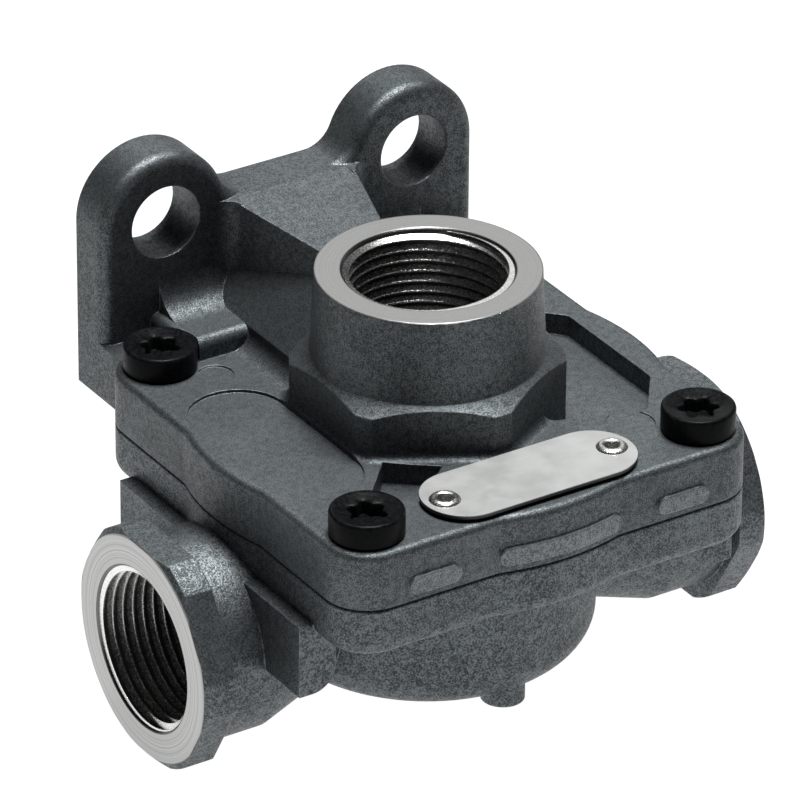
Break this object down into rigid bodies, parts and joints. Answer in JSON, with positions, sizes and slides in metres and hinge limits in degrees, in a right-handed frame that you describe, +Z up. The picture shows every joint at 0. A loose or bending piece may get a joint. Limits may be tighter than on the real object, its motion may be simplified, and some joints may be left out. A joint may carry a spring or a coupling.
{
  "type": "pneumatic quick release valve",
  "caption": "Pneumatic quick release valve: cast cover with a threaded top port and drilled mounting lugs, cast base with threaded side ports, rubber diaphragm between.",
  "frame": {"origin": "on the back face of the mounting plate, midway between the two mounting holes", "axes": "+Z up along the upper port; +Y out of the back of the mounting plate, away from the valve; +X to the right-hand side port, seen from the front"},
  "size_m": [0.086, 0.0727, 0.0644],
  "materials": {
    "cast_cover": "die-cast aluminium, dark grey, fine matt grain, bright where machined",
    "cast_base": "die-cast aluminium, dark grey, coarser blasted grain, bright where machined",
    "rubber": "matt black rubber",
    "label": "satin aluminium sheet, blank",
    "rivet": "bright rolled steel",
    "screw": "black coated steel, slight sheen"
  },
  "bodies": {
    "housing": {"upper_housing": "cast_cover", "lower_housing": "cast_base", "housing_seal": "rubber", "label_plate": "label", "cover_screw_front_left": "screw", "cover_screw_front_right": "screw", "cover_screw_back_left": "screw", "cover_screw_back_right": "screw", "label_rivet_left": "rivet", "label_rivet_right": "rivet"},
    "diaphragm": {"diaphragm": "rubber"}
  },
  "joints": [
    {"name": "diaphragm_lift", "type": "slide", "parent": "housing", "child": "diaphragm", "axis": [0, 0, 1], "range_m": [0, 0.0016]}
  ]
}
